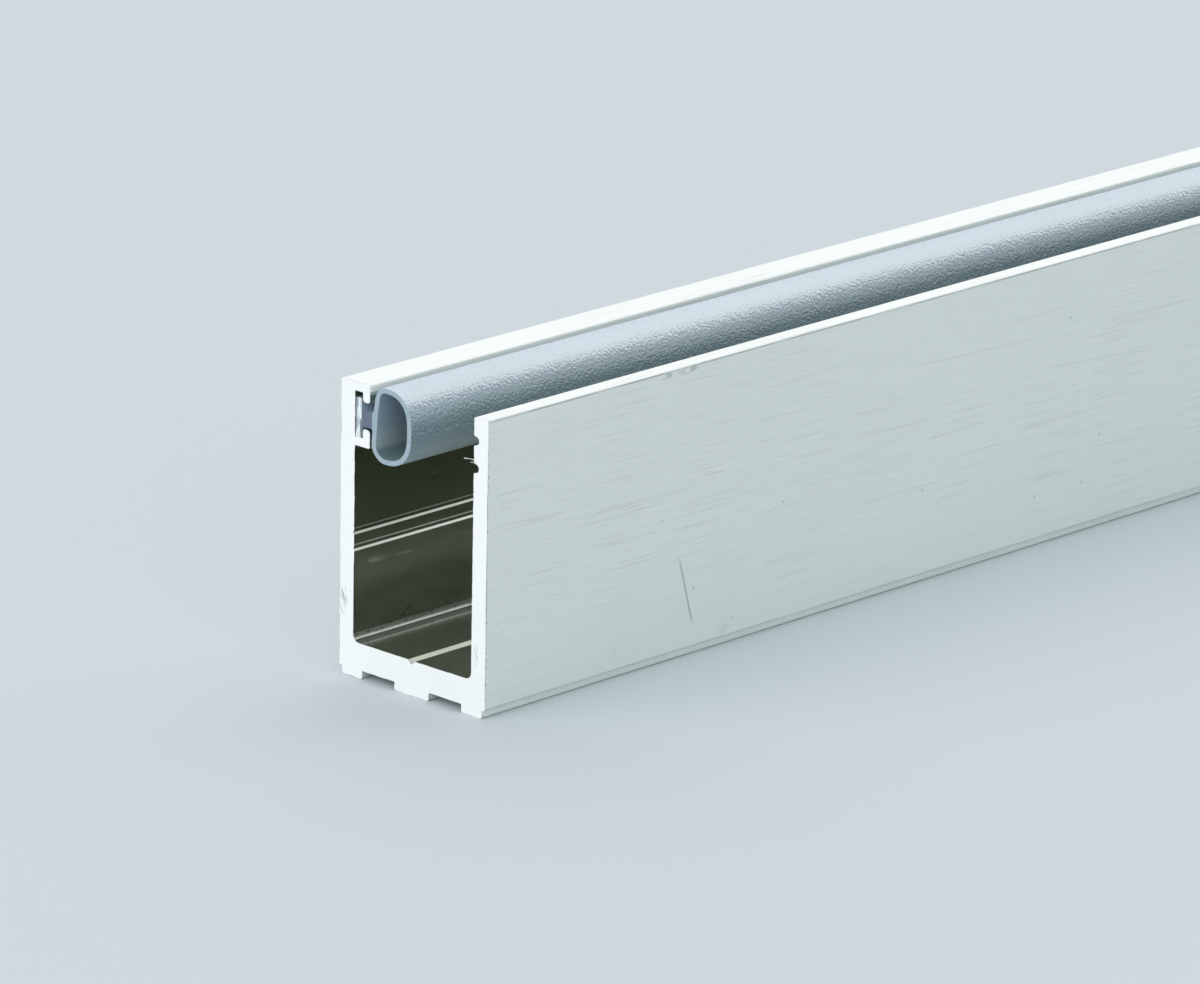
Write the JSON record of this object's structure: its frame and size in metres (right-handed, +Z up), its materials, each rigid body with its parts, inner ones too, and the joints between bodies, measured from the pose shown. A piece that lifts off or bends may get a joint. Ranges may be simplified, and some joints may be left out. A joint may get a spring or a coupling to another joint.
{
  "type": "aluminium glazing channel with tube seal",
  "caption": "Extruded aluminium U channel whose T-slot lip carries a soft hollow tube seal, to hold and seal the edge of a glass pane; grooved feet and a drill line in its floor.",
  "frame": {"origin": "middle of the underside: half the bar's length, half its width, on the plane of the feet", "axes": "+X across the channel from the sealed wall to the plain wall, +Y along the bar away from the end that the picture shows, +Z up out of the open side"},
  "size_m": [0.02, 1, 0.0302],
  "materials": {
    "mill_aluminium": "matt mill-finish faces with fine scratches along the bar, bright sawn ends",
    "clear_seal": "cloudy translucent soft plastic with a fine matt grain"
  },
  "bodies": {
    "root": {"channel_profile": "mill_aluminium", "tube_seal": "clear_seal"}
  },
  "joints": []
}
